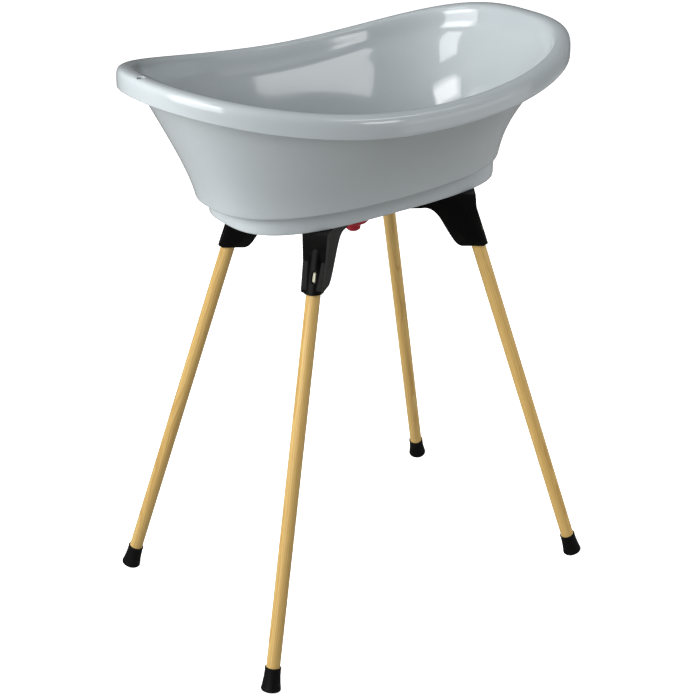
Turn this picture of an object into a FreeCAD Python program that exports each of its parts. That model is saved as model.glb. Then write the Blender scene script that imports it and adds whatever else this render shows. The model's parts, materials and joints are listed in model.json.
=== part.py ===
import FreeCAD, Part
import math
import os

# A baby bathtub on its stand. Four wooden legs plug into a moulded X frame, and the tub
# rests on the frame and lifts off it. All lengths are in millimetres and angles in degrees.
#
# +Z is up, +X points to the end of the tub with the lower backrest and +Y to its far side.
# Everything is modelled about the upright axis of the stand, and moved along X when it is
# written, so that the origin lies on the floor under the middle of the rim.

V = FreeCAD.Vector
STAND_X = 8.5                       # where the stand's axis is, seen from the middle of the rim

# Tub rim, measured at the outside of the lip
RIM_LEFT = -409.2
RIM_RIGHT = 392.2
RIM_HALF_WIDTH = 238.6
RIM_CENTRE = -27.3                  # widest point of the plan
RIM_FULLNESS = (2.25, 2.78)         # exponents of the plan curve at the left and right end
RIM_Z = 952.8                       # height of the lip over the stand's axis
RIM_TILT = -4.2                     # the saddle of the rim, as powers of x / RIM_SPAN
RIM_SADDLE = 74.1
RIM_EASE = -4.4
RIM_SPAN = 440.0
LIP_LEFT = 39.0                     # width of the rolled lip at the left end, right end and sides
LIP_RIGHT = 32.0
LIP_SIDE = 22.5
LIP_DEPTH = 35.0

# Tub body
WALL = 3.0
STEP_LEFT = -287.0
STEP_RIGHT = 290.0
STEP_HALF_WIDTH = 148.0
STEP_CENTRE = -11.8
STEP_FULLNESS = (2.56, 2.31)
STEP_Z = 779.0
FLARE_LEFT = 1.35                   # how late the walls flare out on the way up
FLARE_RIGHT = 2.7
FLARE_SIDE = 1.45

# Plinth under the body
PLINTH_LEFT = -260.0
PLINTH_RIGHT = 266.0
PLINTH_HALF_WIDTH = 126.7
PLINTH_CENTRE = -18.0
PLINTH_FULLNESS = (3.0, 3.3)
PLINTH_Z = 746.0                    # underside of the tub, where it rests on the frame
PLINTH_CORNER = 5.0
FLOOR_REACH = (-140.0, 140.0)       # a guiding ring of the flat floor, between plinth and drain
FLOOR_HALF_WIDTH = 88.0
FLOOR_FULLNESS = (2.1, 2.2)
DRAIN_LEVEL = 12.0                  # flat ring kept round the drain hole
CLIMBS = (0.09, 0.18, 0.3, 0.42, 0.54, 0.66, 0.78, 0.89, 1.0)

HANGING_HOLE_X = -396.0
HANGING_HOLE_R = 6.0

# Drain, on the stand's axis
DRAIN_HOLE_R = 20.0
DRAIN_TUBE_R = 19.0
DRAIN_BORE_R = 16.0
DRAIN_END_Z = 697.5
DRAIN_FLANGE_R = 30.0
DRAIN_FLANGE_T = 2.5
GASKET_R = 28.0
GASKET_T = 2.0
LOCKNUT_R = 29.0
LOCKNUT_T = 10.0
GRILLE_R = 25.0
GRILLE_T = 1.2
GRILLE_HOLE_R = 1.9
GRILLE_HOLE_RINGS = ((8.0, 8), (13.5, 14))  # radius and count
CAP_R = 26.0
CAP_TOP_Z = 710.0
CAP_SHOULDER_Z = 692.0
CAP_BOTTOM_Z = 676.0
CAP_BOSS_R = 13.0
CAP_FLUTES = 20
FLUTE_R = 2.2
SEAL_T = 2.0
LUG_R = 2.0                         # the two bayonet lugs on the drain tube
LUG_PROUD = 1.6
LUG_Z = 703.0
CAP_TURN = 90.0
TRACK_SPARE = 7.0
FIT = 0.3                           # air between surfaces that pass each other

# Stand frame
ARM_ANGLE = 35.8                    # of each diagonal arm from the X axis
ARM_REACH = 212.0
ARM_TOP_WIDTHS = (24.5, 20.2, 23.5) # half width at the hub, along the leg and at the outer end
ARM_MOUTH_WIDTHS = (17.5, 16.5, 18.0)
ARM_LOWER_Z = 721.0
# The arm's inner edge, from the socket's mouth to the straight part: how far back from
# ARM_REACH and how far above MOUTH_Z
ARM_CURVE = ((25, 0), (33, 4), (42, 15), (56, 38), (71, 61), (81, 69), (96, 71))
ARM_WALL = 3.0
ARM_LEAN_BACK = 5.0                 # how much shorter an arm is along its top
HUB_R = 58.0
HUB_BORE_R = 40.0
RIB_REACHES = (95.0, 128.0, 161.0)
RIB_T = 2.4

# Legs, along the line from the foot's middle on the floor to the middle of the socket's mouth
FOOT_X = 352.0
FOOT_Y = 237.0
MOUTH_X = 174.7
MOUTH_Y = 126.2
MOUTH_Z = 650.0
LEG_R = 12.0
LEG_START = 8.0
SOCKET_DEPTH = 90.0
SOCKET_R = 16.5
SOCKET_FIT = 0.08
SOCKET_END_T = 4.0
LEG_LEAN = math.hypot(FOOT_X - MOUTH_X, FOOT_Y - MOUTH_Y) / MOUTH_Z
LEG_CHAMFER = 1.5

# Snap clip in each leg, with a lug that shows in the socket's window
CLIP_TWIST = 14.0                   # the clips face this much more to the tub's long sides
WINDOW_UP = 24.0                    # above the mouth, along the leg
WINDOW_LENGTH = 18.6
WINDOW_WIDTH = 6.4
WINDOW_CHAMFER = 1.0
GROOVE_FLOOR = 4.5                  # distance of the groove's floor from the leg's axis
GROOVE_WIDTH = 7.0
GROOVE_DOWN = 19.0                  # how far the groove runs below the middle of the window
CLIP_FACE = 9.4
CLIP_T = 1.4
CLIP_PAD = 20.0
LUG_LENGTH = 14.4
LUG_WIDTH = 4.2
LUG_TOP = 15.2
SCREW_R = 1.5
SCREW_HEAD_R = 3.0
SCREW_HEAD_T = 1.8
SCREW_LENGTH = 13.0
SCREW_AIR = 0.2

# Rubber foot cap
FOOT_TOP = 45.0
FOOT_TOP_R = 13.9
FOOT_BASE = 3.0                     # where the leg's line meets the cap's end
FOOT_BASE_R = 17.2
FOOT_ROUND = 4.0

CORNERS = {
    "front_left": (-1, -1),
    "front_right": (1, -1),
    "rear_left": (-1, 1),
    "rear_right": (1, 1),
}
RING_POINTS = 48


# ---------------------------------------------------------------- general shapes
def box(x0, x1, y0, y1, z0, z1):
    return Part.makeBox(x1 - x0, y1 - y0, z1 - z0, V(x0, y0, z0))


def disc(radius, z0, z1, x=0.0, y=0.0):
    return Part.makeCylinder(radius, z1 - z0, V(x, y, z0))


def ring_solid(outer, inner, z0, z1):
    return disc(outer, z0, z1).cut(disc(inner, z0 - 1, z1 + 1))


def revolved(outline):
    """Turns a closed outline of (radius, height) points about the Z axis."""
    wire = Part.makePolygon([V(r, 0, z) for r, z in outline + outline[:1]])
    return Part.Face(wire).revolve(V(0, 0, 0), V(0, 0, 1), 360)


def obround_x(length, width, x0, x1, z):
    """A slot-shaped bar along X, its long side along Z, centred on height z."""
    flat = (length - width) / 2
    bar = box(x0, x1, -width / 2, width / 2, z - flat, z + flat)
    for end in (z - flat, z + flat):
        bar = bar.fuse(Part.makeCylinder(width / 2, x1 - x0, V(x0, 0, end), V(1, 0, 0)))
    return bar.removeSplitter()


# ---------------------------------------------------------------- tub
def crest(x):
    """Height of the lip's highest line at x."""
    s = x / RIM_SPAN
    return RIM_Z + RIM_TILT * s + RIM_SADDLE * s ** 2 + RIM_EASE * s ** 4


def plan(turn, left, right, half, centre, fullness, end_grow=None, side_grow=0.0):
    """A point of an egg-shaped closed curve, and how far it is towards the end of the curve.

    left, right and half are pairs, the small and the large size, and the curve has grown
    from the one to the other by end_grow at its ends and side_grow at its sides.
    """
    cos_t = math.cos(turn)
    sin_t = math.sin(turn)
    side = 1 if cos_t >= 0 else 0
    n = fullness[side]
    swell = (abs(cos_t) ** n + abs(sin_t) ** n) ** (-1 / n)
    end_share = (abs(cos_t) * swell) ** (n / 2)
    grow = side_grow
    if end_grow is not None:
        grow = end_grow[side] * end_share + side_grow * (1 - end_share)
    small, large = (left, right)[side]
    reach = abs(small + (large - small) * grow - centre)
    width = half[0] + (half[1] - half[0]) * side_grow
    return centre + reach * cos_t * swell, width * sin_t * swell


def turns():
    return [2 * math.pi * i / RING_POINTS for i in range(RING_POINTS)]


def flat_ring(left, right, half, centre, fullness, z):
    """A level ring round the tub."""
    points = []
    for turn in turns():
        x, y = plan(turn, (left, left), (right, right), (half, half), centre, fullness)
        points.append(V(x, y, z))
    return points


def circle_ring(radius, z):
    return [V(radius * math.cos(turn), radius * math.sin(turn), z) for turn in turns()]


def plinth_ring(inset, z):
    left = PLINTH_LEFT + inset
    right = PLINTH_RIGHT - inset
    return flat_ring(left, right, PLINTH_HALF_WIDTH - inset, PLINTH_CENTRE, PLINTH_FULLNESS, z)


def floor_ring(z):
    return flat_ring(FLOOR_REACH[0], FLOOR_REACH[1], FLOOR_HALF_WIDTH, 0.0, FLOOR_FULLNESS, z)


def step_ring(inset, z):
    left = STEP_LEFT + inset
    right = STEP_RIGHT - inset
    return flat_ring(left, right, STEP_HALF_WIDTH - inset, STEP_CENTRE, STEP_FULLNESS, z)


def lip_ring(inward, extra, drop):
    """A ring on the lip, drop mm below the crest.

    inward is its distance from the outer edge as a share of the lip's width, plus extra mm.
    """
    left = RIM_LEFT + inward * LIP_LEFT + extra
    right = RIM_RIGHT - inward * LIP_RIGHT - extra
    half = RIM_HALF_WIDTH - inward * LIP_SIDE - extra
    points = []
    for turn in turns():
        x, y = plan(turn, (left, left), (right, right), (half, half), RIM_CENTRE, RIM_FULLNESS)
        points.append(V(x, y, crest(x) - drop))
    return points


def wall_ring(climb, inset):
    """A ring on the wall, climb being 0 at the step and 1 under the lip."""
    left = (STEP_LEFT + inset, RIM_LEFT + LIP_LEFT - WALL + inset)
    right = (STEP_RIGHT - inset, RIM_RIGHT - LIP_RIGHT + WALL - inset)
    half = (STEP_HALF_WIDTH - inset, RIM_HALF_WIDTH - LIP_SIDE + WALL - inset)
    end_grow = (climb ** FLARE_LEFT, climb ** FLARE_RIGHT)
    side_grow = climb ** FLARE_SIDE
    centre = STEP_CENTRE + (RIM_CENTRE - STEP_CENTRE) * side_grow
    fullness = [low + (high - low) * climb for low, high in zip(STEP_FULLNESS, RIM_FULLNESS)]
    points = []
    for turn in turns():
        x, y = plan(turn, left, right, half, centre, fullness, end_grow, side_grow)
        points.append(V(x, y, STEP_Z + (crest(x) - LIP_DEPTH - STEP_Z) * climb))
    return points


def smooth_sheet(rows):
    """A smooth surface steered by closed rows of points, passing through the first and last."""
    stations = [i / RING_POINTS for i in range(RING_POINTS + 1)]
    poles = []
    for row in rows:
        curve = Part.BSplineCurve()
        curve.interpolate(Points=row, Parameters=stations, PeriodicFlag=True)
        poles.append(curve.getPoles())
    spans = len(rows) - 3
    surface = Part.BSplineSurface()
    surface.buildFromPolesMultsKnots(
        poles, [4] + [1] * (spans - 1) + [4], curve.getMultiplicities(),
        list(range(spans + 1)), curve.getKnots(), False, True, 3, 3)
    return surface.toShape()


def inner_rows():
    """From the drain hole over the floor, up the inside and over the lip to its lower edge."""
    floor = PLINTH_Z + WALL
    rows = [circle_ring(DRAIN_HOLE_R, floor), circle_ring(DRAIN_HOLE_R + DRAIN_LEVEL, floor)]
    rows.append(floor_ring(floor))
    rows.append(plinth_ring(WALL + 30, floor))
    rows.append(plinth_ring(WALL + 9, floor))
    rows.append(plinth_ring(WALL + 1, floor))
    rows.append(plinth_ring(WALL, floor + 8))
    rows.append(plinth_ring(WALL, STEP_Z - 3))
    rows.append(plinth_ring(WALL - 2, STEP_Z + 1.5))
    rows.append(step_ring(WALL + 7, STEP_Z + 2.5))
    rows.append(step_ring(WALL + 1, STEP_Z + 5))
    for climb in CLIMBS:
        rows.append(wall_ring(climb, WALL))
    rows.append(lip_ring(1.0, 0.0, 16.0))
    rows.append(lip_ring(0.99, 0.0, 5.5))
    rows.append(lip_ring(0.9, 0.0, 0.2))
    rows.append(lip_ring(0.62, 0.0, -0.8))
    rows.append(lip_ring(0.32, 0.0, 0.9))
    rows.append(lip_ring(0.07, 0.0, 6.0))
    rows.append(lip_ring(0.0, 0.0, 16.0))
    rows.append(lip_ring(0.0, 0.0, 26.0))
    rows.append(lip_ring(0.0, 0.0, LIP_DEPTH))
    return rows


def outer_rows():
    """From the lip's lower edge up inside the lip, down the outside and under to the drain hole."""
    rows = [lip_ring(0.0, WALL, LIP_DEPTH), lip_ring(0.0, WALL, 25.0), lip_ring(0.0, WALL, 15.0)]
    rows.append(lip_ring(0.06, WALL, 7.6))
    rows.append(lip_ring(0.32, WALL, 4.5))
    rows.append(lip_ring(0.62, 0.0, 3.6))
    rows.append(lip_ring(0.9, -WALL, 4.2))
    rows.append(lip_ring(1.0, -WALL, 9.0))
    rows.append(lip_ring(1.0, -WALL, 18.0))
    for climb in reversed(CLIMBS):
        rows.append(wall_ring(climb, 0.0))
    rows.append(step_ring(0.0, STEP_Z + 4))
    rows.append(step_ring(1.0, STEP_Z))
    rows.append(step_ring(7.0, STEP_Z - 0.5))
    rows.append(plinth_ring(-2.0, STEP_Z - 1))
    rows.append(plinth_ring(0.0, STEP_Z - 5))
    rows.append(plinth_ring(0.0, PLINTH_Z + PLINTH_CORNER))
    rows.append(plinth_ring(0.5, PLINTH_Z))
    rows.append(plinth_ring(PLINTH_CORNER, PLINTH_Z))
    rows.append(plinth_ring(WALL + 30, PLINTH_Z))
    rows.append(floor_ring(PLINTH_Z))
    rows.append(circle_ring(DRAIN_HOLE_R + DRAIN_LEVEL, PLINTH_Z))
    rows.append(circle_ring(DRAIN_HOLE_R, PLINTH_Z))
    return rows


def ruled_between(row_a, row_b):
    return smooth_sheet([
        [a + (b - a) * share for a, b in zip(row_a, row_b)] for share in (0, 1 / 3, 2 / 3, 1)])


def tub_shell():
    inner = inner_rows()
    outer = outer_rows()
    faces = [smooth_sheet(inner), smooth_sheet(outer)]
    faces.append(ruled_between(inner[-1], outer[0]))
    faces.append(ruled_between(outer[-1], inner[0]))
    shell = Part.makeShell([face for sheet in faces for face in sheet.Faces])
    shell.sewShape()
    tub = Part.makeSolid(Part.Shell(shell.Faces))
    if tub.Volume < 0:
        tub.reverse()
    hole_z = crest(HANGING_HOLE_X)
    return tub.cut(disc(HANGING_HOLE_R, hole_z - 14, hole_z + 10, HANGING_HOLE_X))


# ---------------------------------------------------------------- drain
def drain_body():
    """Flange in the tub's floor and the tube below it, with a cross web and bayonet lugs."""
    floor = PLINTH_Z + WALL
    top = floor + DRAIN_FLANGE_T
    outline = [
        (DRAIN_BORE_R, DRAIN_END_Z), (DRAIN_TUBE_R, DRAIN_END_Z), (DRAIN_TUBE_R, floor),
        (DRAIN_FLANGE_R, floor), (DRAIN_FLANGE_R - 1.5, top), (GRILLE_R + 0.5, top),
        (GRILLE_R + 0.5, top - GRILLE_T), (DRAIN_BORE_R, top - GRILLE_T),
    ]
    body = revolved(outline)
    web_top = top - GRILLE_T
    for angle in (0, 90):
        web = box(-DRAIN_TUBE_R + 1, DRAIN_TUBE_R - 1, -1.2, 1.2, web_top - 10, web_top)
        web.rotate(V(0, 0, 0), V(0, 0, 1), angle)
        body = body.fuse(web)
    body = body.fuse(disc(5.0, web_top - 14, web_top))
    body = body.cut(disc(SCREW_R + 0.5, web_top - 12, web_top + 1))
    for way in (-1, 1):
        start = V(way * (DRAIN_TUBE_R - 1), 0, LUG_Z)
        body = body.fuse(Part.makeCylinder(LUG_R, LUG_PROUD + 1, start, V(way, 0, 0)))
    return body


def drain_gasket():
    return ring_solid(GASKET_R, DRAIN_TUBE_R, PLINTH_Z - GASKET_T, PLINTH_Z)


def drain_locknut():
    """Ring nut with grip lugs, screwed up the drain tube against the gasket."""
    top = PLINTH_Z - GASKET_T
    nut = ring_solid(LOCKNUT_R - 3, DRAIN_TUBE_R, top - LOCKNUT_T, top)
    nut = nut.fuse(ring_solid(LOCKNUT_R, DRAIN_TUBE_R, top - 3, top))
    for i in range(8):
        lug = box(LOCKNUT_R - 4, LOCKNUT_R, -3, 3, top - LOCKNUT_T, top - 2)
        lug.rotate(V(0, 0, 0), V(0, 0, 1), 45 * i)
        nut = nut.fuse(lug)
    return nut.removeSplitter()


def drain_grille():
    top = PLINTH_Z + WALL + DRAIN_FLANGE_T
    plate = disc(GRILLE_R, top - GRILLE_T, top)
    plate = plate.cut(disc(SCREW_R + 0.5, top - 3, top + 1))
    holes = []
    for radius, count in GRILLE_HOLE_RINGS:
        for i in range(count):
            angle = 2 * math.pi * i / count
            x = radius * math.cos(angle)
            y = radius * math.sin(angle)
            holes.append(disc(GRILLE_HOLE_R, top - 3, top + 1, x, y))
    return plate.cut(Part.makeCompound(holes))


def drain_grille_screw():
    top = PLINTH_Z + WALL + DRAIN_FLANGE_T
    head = revolved([(0, top), (4.2, top), (3.6, top + 1.4), (1.6, top + 2.2), (0, top + 2.2)])
    screw = head.fuse(disc(SCREW_R + 0.5, top - 11, top))
    return screw.cut(box(-3.2, 3.2, -0.5, 0.5, top + 1.2, top + 3))


def drain_cap():
    """Bayonet cap with a fluted skirt and a turning boss, closed by a seal inside."""
    bore = DRAIN_TUBE_R + FIT
    seal_z = DRAIN_END_Z - SEAL_T
    cap = revolved([
        (0, CAP_BOTTOM_Z + 1), (0, seal_z), (bore, seal_z), (bore, CAP_TOP_Z),
        (CAP_R - 2, CAP_TOP_Z), (CAP_R, CAP_TOP_Z - 3), (CAP_R, CAP_SHOULDER_Z + 2),
        (CAP_R - 2, CAP_SHOULDER_Z), (CAP_BOSS_R, CAP_SHOULDER_Z - 1),
        (CAP_BOSS_R - 0.5, CAP_BOTTOM_Z + 3), (CAP_BOSS_R - 3.5, CAP_BOTTOM_Z), (3, CAP_BOTTOM_Z),
    ])
    flutes = []
    for i in range(CAP_FLUTES):
        angle = 2 * math.pi * (i + 0.5) / CAP_FLUTES
        x = (CAP_R + 1.2) * math.cos(angle)
        y = (CAP_R + 1.2) * math.sin(angle)
        flutes.append(disc(FLUTE_R, CAP_SHOULDER_Z - 1, CAP_TOP_Z + 1, x, y))
    cap = cap.cut(Part.makeCompound(flutes))
    track_r = DRAIN_TUBE_R + LUG_PROUD + FIT
    half = LUG_R + FIT
    for start in (0, 180):
        track = ring_solid(track_r, bore - 1, LUG_Z - half, LUG_Z + half)
        sector = Part.makeCylinder(
            track_r + 1, 3 * half, V(0, 0, LUG_Z - 1.5 * half), V(0, 0, 1), CAP_TURN + 2 * TRACK_SPARE)
        sector.rotate(V(0, 0, 0), V(0, 0, 1), start - TRACK_SPARE)
        cap = cap.cut(track.common(sector))
        entry = box(bore - 1, track_r, -half, half, LUG_Z - half, CAP_TOP_Z + 1)
        entry.rotate(V(0, 0, 0), V(0, 0, 1), start + CAP_TURN)
        cap = cap.cut(entry)
    return cap


def drain_cap_seal():
    return disc(DRAIN_TUBE_R, DRAIN_END_Z - SEAL_T, DRAIN_END_Z)


# ---------------------------------------------------------------- stand frame
def on_arm(sx, sy, reach):
    """The point at a distance from the stand's axis, along the arm towards a corner."""
    angle = math.radians(ARM_ANGLE)
    return sx * reach * math.cos(angle), sy * reach * math.sin(angle)


def arm_outline():
    """Side view of an arm: straight under the tub, then curving down to the socket's mouth."""
    inner = []
    for back, up in ARM_CURVE:
        inner.append((ARM_REACH - back, MOUTH_Z + up))
    curve = Part.BSplineCurve()
    curve.interpolate([V(reach, 0, z) for reach, z in inner])
    corners = [
        inner[-1], (0, ARM_LOWER_Z), (0, PLINTH_Z), (ARM_REACH - ARM_LEAN_BACK, PLINTH_Z),
        (ARM_REACH, MOUTH_Z + 50), (ARM_REACH + 17, MOUTH_Z + 7), (ARM_REACH + 16.5, MOUTH_Z + 3),
        (ARM_REACH + 13, MOUTH_Z), inner[0],
    ]
    edges = [curve.toShape()]
    for (x0, z0), (x1, z1) in zip(corners, corners[1:]):
        edges.append(Part.LineSegment(V(x0, 0, z0), V(x1, 0, z1)).toShape())
    return Part.Face(Part.Wire(Part.__sortEdges__(edges)))


def arm_taper(inset):
    """What bounds the arm's sides: closer at the bottom, closest along the leg."""
    sections = []
    for z, widths in ((PLINTH_Z, ARM_TOP_WIDTHS), (MOUTH_Z, ARM_MOUTH_WIDTHS)):
        crease = math.hypot(MOUTH_X, MOUTH_Y) - (z - MOUTH_Z) * LEG_LEAN
        reaches = (-20, crease, ARM_REACH + 60)
        near = [V(reach, width - inset, z) for reach, width in zip(reaches, widths)]
        far = [V(reach, inset - width, z) for reach, width in zip(reaches, widths)]
        sections.append(Part.makePolygon(near + far[::-1] + near[:1]))
    return Part.makeLoft(sections, True, True)


def arm():
    """A channel, open below, with a wall along its outer end and ribs across it."""
    wide = max(ARM_TOP_WIDTHS) + 5
    profile = arm_outline()
    profile.translate(V(0, -wide, 0))
    outside = profile.extrude(V(0, 2 * wide, 0)).common(arm_taper(0.0))
    below = box(-10, ARM_REACH + 50, -wide, wide, MOUTH_Z - 5, PLINTH_Z - ARM_WALL)
    behind_end = outside.translated(V(-ARM_WALL, 0, 0))
    channel = outside.cut(arm_taper(ARM_WALL).common(below).common(behind_end))
    for reach in RIB_REACHES:
        rib = box(reach, reach + RIB_T, -wide, wide, MOUTH_Z, PLINTH_Z)
        channel = channel.fuse(rib.common(outside))
    return channel


def stand_hub():
    """Ring that joins the four arms, a channel open below, with room for the drain."""
    hub = ring_solid(HUB_R, HUB_BORE_R, ARM_LOWER_Z, PLINTH_Z)
    under_z = PLINTH_Z - ARM_WALL
    return hub.cut(ring_solid(HUB_R - ARM_WALL, HUB_BORE_R + ARM_WALL, ARM_LOWER_Z - 1, under_z))


def stand_arm(sx, sy):
    """One arm from the hub outwards, with the socket for a leg and its window."""
    limb = arm()
    limb.rotate(V(0, 0, 0), V(0, 0, 1), math.degrees(math.atan2(*reversed(on_arm(sx, sy, 1.0)))))
    above_mouth = box(-ARM_REACH, ARM_REACH, -ARM_REACH, ARM_REACH, MOUTH_Z, PLINTH_Z)
    limb = limb.fuse(on_leg(socket_tube(), sx, sy).common(above_mouth))
    limb = limb.cut(on_leg(socket_bore(), sx, sy, CLIP_TWIST))
    return limb.cut(disc(HUB_R, ARM_LOWER_Z - 10, PLINTH_Z + 10))


# ---------------------------------------------------------------- legs
def leg_length(z):
    """Distance along the leg from the floor to height z."""
    run = math.hypot(FOOT_X - MOUTH_X, FOOT_Y - MOUTH_Y)
    return z / MOUTH_Z * math.hypot(run, MOUTH_Z)


def on_leg(shape, sx, sy, twist=0.0):
    """Places a shape made with its Z along the leg and its X facing outwards.

    A positive twist turns its X from there towards the tub's long side.
    """
    foot = V(sx * FOOT_X, sy * FOOT_Y, 0)
    mouth = V(sx * MOUTH_X, sy * MOUTH_Y, MOUTH_Z)
    along = (mouth - foot).normalize()
    outward = V(foot.x - mouth.x, foot.y - mouth.y, 0)
    outward = (outward - along * outward.dot(along)).normalize()
    turn = FreeCAD.Rotation(outward, along.cross(outward), along, "ZXY")
    placed = shape.copy()
    placed.rotate(V(0, 0, 0), V(0, 0, 1), twist * sx * sy)
    placed.Placement = FreeCAD.Placement(foot, turn).multiply(placed.Placement)
    return placed


MOUTH = leg_length(MOUTH_Z)
BORE_END = MOUTH + SOCKET_DEPTH
LEG_END = BORE_END - FIT
WINDOW = MOUTH + WINDOW_UP
GROOVE_START = WINDOW - GROOVE_DOWN
GROOVE_END = LEG_END - 4
PAD_START = GROOVE_END - CLIP_PAD
SCREW_PLACE = PAD_START + CLIP_PAD / 2


def socket_tube():
    """Round tube for the leg, a little wider at its mouth and closed on top."""
    start = MOUTH - 10
    end = BORE_END + SOCKET_END_T
    return Part.makeCone(SOCKET_R + 0.7, SOCKET_R - 0.6, end - start, V(0, 0, start))


def socket_bore():
    """The leg's hole, and the window that opens it to the outside with a sunk rim."""
    bore = Part.makeCylinder(LEG_R + SOCKET_FIT, SOCKET_DEPTH + 20, V(0, 0, MOUTH - 20))
    clear = SOCKET_R + 8
    window = obround_x(WINDOW_LENGTH, WINDOW_WIDTH, 0, clear, WINDOW)
    rim_length = WINDOW_LENGTH + 2 * WINDOW_CHAMFER
    rim_width = WINDOW_WIDTH + 2 * WINDOW_CHAMFER
    rim = obround_x(rim_length, rim_width, SOCKET_R - WINDOW_CHAMFER, clear, WINDOW)
    return bore.fuse(window).fuse(rim)


def leg():
    wood = revolved([
        (0, LEG_START), (LEG_R, LEG_START), (LEG_R, LEG_END - LEG_CHAMFER),
        (LEG_R - LEG_CHAMFER, LEG_END), (0, LEG_END),
    ])
    half = GROOVE_WIDTH / 2
    wood = wood.cut(box(GROOVE_FLOOR, LEG_R + 1, -half, half, GROOVE_START, GROOVE_END))
    tip = V(CLIP_FACE - SCREW_LENGTH, 0, SCREW_PLACE)
    return wood.cut(Part.makeCylinder(SCREW_R, SCREW_LENGTH, tip, V(1, 0, 0)))


def leg_clip():
    """Springy strip in the leg's groove, screwed down at its top and with a lug lower down."""
    half = GROOVE_WIDTH / 2
    back = CLIP_FACE - CLIP_T
    pad = box(GROOVE_FLOOR, CLIP_FACE, -half, half, PAD_START, GROOVE_END)
    strip = box(back, CLIP_FACE, FIT - half, half - FIT, GROOVE_START + 1, PAD_START)
    lug = obround_x(LUG_LENGTH, LUG_WIDTH, CLIP_FACE - CLIP_T / 2, LUG_TOP, WINDOW)
    clip = pad.fuse(strip).fuse(lug)
    neck = V(CLIP_FACE - SCREW_HEAD_T, 0, SCREW_PLACE)
    small = SCREW_R + SCREW_AIR
    sink = Part.makeCone(small, SCREW_HEAD_R + SCREW_AIR, SCREW_HEAD_T, neck, V(1, 0, 0))
    hole = Part.makeCylinder(small, CLIP_FACE, V(0, 0, SCREW_PLACE), V(1, 0, 0))
    return clip.cut(sink).cut(hole).removeSplitter()


def clip_screw():
    """Countersunk cross-head screw through the clip's pad into the leg."""
    tip = V(CLIP_FACE - SCREW_LENGTH, 0, 0)
    neck = V(CLIP_FACE - SCREW_HEAD_T, 0, 0)
    screw = Part.makeCylinder(SCREW_R, SCREW_LENGTH - SCREW_HEAD_T, tip, V(1, 0, 0))
    screw = screw.fuse(Part.makeCone(SCREW_R, SCREW_HEAD_R, SCREW_HEAD_T, neck, V(1, 0, 0)))
    for long_y, long_z in ((1.6, 0.4), (0.4, 1.6)):
        screw = screw.cut(box(CLIP_FACE - 1, CLIP_FACE + 1, -long_y, long_y, -long_z, long_z))
    screw.translate(V(0, 0, SCREW_PLACE))
    return screw


def foot_cap():
    """Rubber cap pushed over the leg's end, flared, with a round edge."""
    corner = V(FOOT_BASE_R - FOOT_ROUND, 0, FOOT_BASE)
    side = V(FOOT_BASE_R, 0, FOOT_BASE + FOOT_ROUND)
    bend = V(FOOT_BASE_R - 0.29 * FOOT_ROUND, 0, FOOT_BASE + 0.29 * FOOT_ROUND)
    flare = V(FOOT_TOP_R + 1.4, 0, FOOT_BASE + 17)
    neck = V(FOOT_TOP_R, 0, FOOT_TOP - 3)
    lip = V(FOOT_TOP_R + 0.5, 0, FOOT_TOP - 1.5)
    rim = V(FOOT_TOP_R, 0, FOOT_TOP)
    flank = Part.BSplineCurve()
    flank.interpolate([side, flare, neck])
    edges = [Part.Arc(corner, bend, side).toShape(), flank.toShape()]
    edges.append(Part.Arc(neck, lip, rim).toShape())
    corners = [
        rim, V(LEG_R, 0, FOOT_TOP), V(LEG_R, 0, LEG_START), V(0, 0, LEG_START),
        V(0, 0, FOOT_BASE), corner,
    ]
    for start, end in zip(corners, corners[1:]):
        edges.append(Part.LineSegment(start, end).toShape())
    return Part.Face(Part.Wire(edges)).revolve(V(0, 0, 0), V(0, 0, 1), 360)


def foot_cap_on_floor(sx, sy):
    """The cap's lowest edge is pressed flat where it meets the floor."""
    cap = on_leg(foot_cap(), sx, sy)
    return cap.cut(box(-FOOT_X - 60, FOOT_X + 60, -FOOT_Y - 60, FOOT_Y + 60, -40, 0))


def emit(name, shape):
    placed = shape.copy()
    placed.translate(V(STAND_X, 0, 0))
    if not placed.isValid():
        print("not valid:", name)
    print(name, len(placed.Solids), round(placed.Volume))
    placed.exportStep("parts/" + name + ".step")


os.makedirs("parts", exist_ok=True)
emit("tub_shell", tub_shell())
emit("drain_body", drain_body())
emit("drain_gasket", drain_gasket())
emit("drain_locknut", drain_locknut())
emit("drain_grille", drain_grille())
emit("drain_grille_screw", drain_grille_screw())
emit("drain_cap", drain_cap())
emit("drain_cap_seal", drain_cap_seal())
emit("stand_hub", stand_hub())
for corner, (side_x, side_y) in CORNERS.items():
    emit("stand_arm_" + corner, stand_arm(side_x, side_y))
    emit("leg_" + corner, on_leg(leg(), side_x, side_y, CLIP_TWIST))
    emit("leg_clip_" + corner, on_leg(leg_clip(), side_x, side_y, CLIP_TWIST))
    emit("clip_screw_" + corner, on_leg(clip_screw(), side_x, side_y, CLIP_TWIST))
    emit("foot_cap_" + corner, foot_cap_on_floor(side_x, side_y))
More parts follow.
